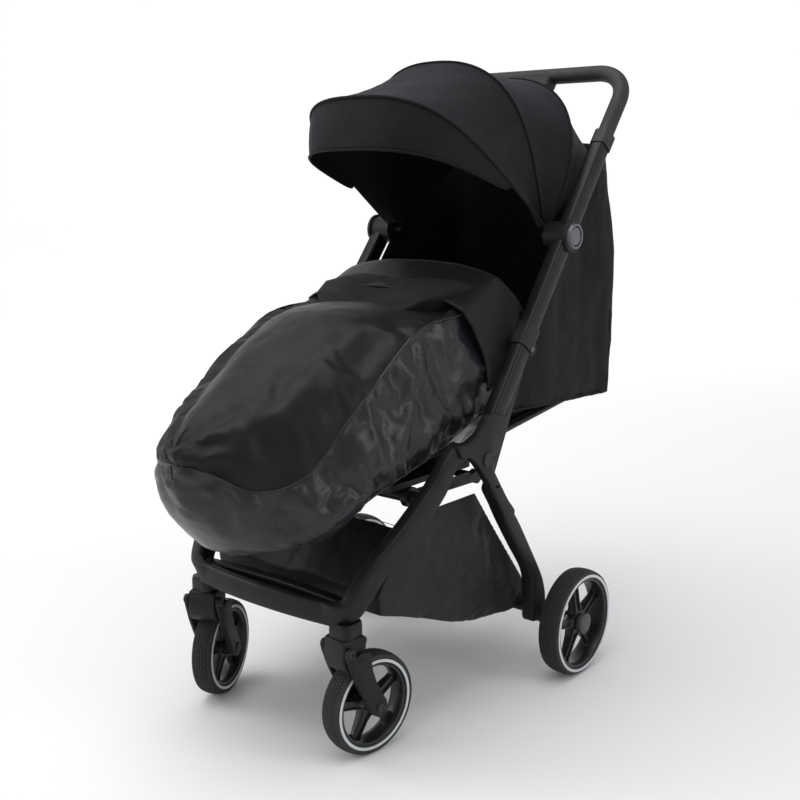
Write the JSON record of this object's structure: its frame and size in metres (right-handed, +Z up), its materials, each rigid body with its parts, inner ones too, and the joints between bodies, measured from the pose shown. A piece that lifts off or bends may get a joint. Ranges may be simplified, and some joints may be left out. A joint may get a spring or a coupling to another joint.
{
  "type": "baby stroller",
  "caption": "Folding stroller with a hooded reclining seat, padded foot muff, under-seat basket, swivel front casters and larger rear wheels.",
  "frame": {"origin": "on the floor under the middle of the stroller's bounding box", "axes": "+Z up, front of the stroller towards -Y, the child's left towards +X"},
  "size_m": [0.523, 0.8826, 0.9926],
  "materials": {
    "frame_tube": "satin black powder coat",
    "moulding": "fine matt grain",
    "grip": "soft stitched grip",
    "tyre": "matt rubber",
    "rim": "satin black",
    "reflective": "silver grey band",
    "steel": "dark steel",
    "canopy_fabric": "heathered weave",
    "muff_fabric": "smooth coated nylon",
    "basket_fabric": "plain weave",
    "button": "glossy"
  },
  "bodies": {
    "chassis": {"front_leg_left": "moulding", "front_leg_right": "moulding", "footrest_bar": "moulding", "caster_column_left": "moulding", "caster_column_right": "moulding", "seat_cross_tube": "frame_tube", "hub_pins": "steel", "basket": "basket_fabric"},
    "rear_frame": {"rear_leg_left": "moulding", "rear_leg_right": "moulding", "axle_brackets": "moulding", "rear_axle": "steel"},
    "brake": {"brake_pedal": "moulding"},
    "push_frame": {"push_tube_left": "frame_tube", "push_tube_right": "frame_tube", "link_collars": "moulding", "link_pins": "steel", "handle": "grip", "trigger_housing": "moulding", "canopy_hubs": "moulding", "back_wall": "basket_fabric"},
    "fold_trigger": {"fold_trigger": "button"},
    "canopy_button_left": {"canopy_button_left": "button"},
    "canopy_button_right": {"canopy_button_right": "button"},
    "seat_links": {"seat_links": "frame_tube"},
    "canopy_front": {"canopy_rib_front": "frame_tube", "canopy_visor": "canopy_fabric", "canopy_panel_front": "canopy_fabric"},
    "canopy_middle": {"canopy_rib_middle": "frame_tube", "canopy_panel_rear": "canopy_fabric"},
    "canopy_rear": {"canopy_rib_rear": "frame_tube"},
    "seat": {"seat_frame": "frame_tube", "seat_board": "moulding", "foot_muff": "muff_fabric"},
    "backrest": {"backrest_frame": "frame_tube", "backrest_board": "moulding", "backrest_pad": "muff_fabric"},
    "rear_wheel_left": {"rear_tyre_left": "tyre", "rear_rim_left": "rim", "rear_reflective_rings_left": "reflective"},
    "caster_left": {"caster_fork_left": "moulding", "swivel_pin_left": "steel", "suspension_pins_left": "steel"},
    "suspension_left": {"suspension_arms_left": "moulding", "front_axle_left": "steel"},
    "front_wheel_left": {"front_tyre_left": "tyre", "front_rim_left": "rim", "front_reflective_rings_left": "reflective"},
    "rear_wheel_right": {"rear_tyre_right": "tyre", "rear_rim_right": "rim", "rear_reflective_rings_right": "reflective"},
    "caster_right": {"caster_fork_right": "moulding", "swivel_pin_right": "steel", "suspension_pins_right": "steel"},
    "suspension_right": {"suspension_arms_right": "moulding", "front_axle_right": "steel"},
    "front_wheel_right": {"front_tyre_right": "tyre", "front_rim_right": "rim", "front_reflective_rings_right": "reflective"}
  },
  "joints": [
    {"name": "push_fold", "type": "hinge", "parent": "chassis", "child": "push_frame", "pos_m": [0, -0.015, 0.4], "axis": [1, 0, 0], "range_deg": [0, 110], "deforming": ["foot_muff", "basket"]},
    {"name": "rear_fold", "type": "hinge", "parent": "chassis", "child": "rear_frame", "pos_m": [0, -0.015, 0.4], "axis": [1, 0, 0], "range_deg": [-46.2, 0]},
    {"name": "seat_lift", "type": "hinge", "parent": "chassis", "child": "seat", "pos_m": [0, -0.116, 0.355], "axis": [1, 0, 0], "range_deg": [0, 41.25]},
    {"name": "link_swing", "type": "hinge", "parent": "push_frame", "child": "seat_links", "pos_m": [0, 0.14065, 0.54283], "axis": [1, 0, 0], "range_deg": [-5.5, 0]},
    {"name": "backrest_recline", "type": "hinge", "parent": "push_frame", "child": "backrest", "pos_m": [0, -0.015, 0.4], "axis": [1, 0, 0], "range_deg": [0, 40], "deforming": ["back_wall"]},
    {"name": "canopy_front_fold", "type": "hinge", "parent": "push_frame", "child": "canopy_front", "pos_m": [0, 0.22491, 0.71379], "axis": [-1, 0, 0], "range_deg": [0, 72], "deforming": ["canopy_panel_front"]},
    {"name": "canopy_middle_fold", "type": "hinge", "parent": "push_frame", "child": "canopy_middle", "pos_m": [0, 0.22491, 0.71379], "axis": [-1, 0, 0], "range_deg": [0, 26.64], "deforming": ["canopy_panel_rear"]},
    {"name": "canopy_rear_fold", "type": "hinge", "parent": "push_frame", "child": "canopy_rear", "pos_m": [0, 0.22491, 0.71379], "axis": [-1, 0, 0], "range_deg": [0, 4.32]},
    {"name": "fold_trigger_press", "type": "slide", "parent": "push_frame", "child": "fold_trigger", "axis": [0, 0.6074, 0.7944], "range_m": [0, 0.004], "stiffness_N_per_m": 600},
    {"name": "canopy_button_left_press", "type": "slide", "parent": "push_frame", "child": "canopy_button_left", "axis": [-1, 0, 0], "range_m": [0, 0.003], "stiffness_N_per_m": 600},
    {"name": "canopy_button_right_press", "type": "slide", "parent": "push_frame", "child": "canopy_button_right", "axis": [1, 0, 0], "range_m": [0, 0.003], "stiffness_N_per_m": 600},
    {"name": "brake_press", "type": "hinge", "parent": "rear_frame", "child": "brake", "pos_m": [0, 0.205, 0.0875], "axis": [-1, 0, 0], "range_deg": [0, 18]},
    {"name": "rear_wheel_left_roll", "type": "hinge", "parent": "rear_frame", "child": "rear_wheel_left", "pos_m": [0.24, 0.205, 0.0875], "axis": [1, 0, 0], "continuous": true},
    {"name": "caster_left_swivel", "type": "hinge", "parent": "chassis", "child": "caster_left", "pos_m": [0.143, -0.25, 0.19], "axis": [0, 0, 1], "continuous": true},
    {"name": "suspension_left_travel", "type": "hinge", "parent": "caster_left", "child": "suspension_left", "pos_m": [0.14117, -0.26388, 0.171], "axis": [0.9914, -0.1306, 0], "range_deg": [-2.5, 4], "stiffness_Nm_per_rad": 60, "springref_deg": -1.15},
    {"name": "front_wheel_left_roll", "type": "hinge", "parent": "suspension_left", "child": "front_wheel_left", "pos_m": [0.14822, -0.21034, 0.075], "axis": [0.9914, -0.1306, 0], "continuous": true},
    {"name": "rear_wheel_right_roll", "type": "hinge", "parent": "rear_frame", "child": "rear_wheel_right", "pos_m": [-0.24, 0.205, 0.0875], "axis": [1, 0, 0], "continuous": true},
    {"name": "caster_right_swivel", "type": "hinge", "parent": "chassis", "child": "caster_right", "pos_m": [-0.143, -0.25, 0.19], "axis": [0, 0, 1], "continuous": true},
    {"name": "suspension_right_travel", "type": "hinge", "parent": "caster_right", "child": "suspension_right", "pos_m": [-0.13773, -0.26297, 0.171], "axis": [0.9264, 0.3765, 0], "range_deg": [-2.5, 4], "stiffness_Nm_per_rad": 60, "springref_deg": -1.15},
    {"name": "front_wheel_right_roll", "type": "hinge", "parent": "suspension_right", "child": "front_wheel_right", "pos_m": [-0.15806, -0.21294, 0.075], "axis": [0.9264, 0.3765, 0], "continuous": true}
  ],
  "couplings": [
    {"joint": "rear_fold", "follows": "push_fold", "ratio": -0.42},
    {"joint": "seat_lift", "follows": "push_fold", "ratio": 0.375},
    {"joint": "link_swing", "follows": "push_fold", "ratio": -0.05},
    {"joint": "canopy_middle_fold", "follows": "canopy_front_fold", "ratio": 0.37},
    {"joint": "canopy_rear_fold", "follows": "canopy_front_fold", "ratio": 0.06}
  ]
}
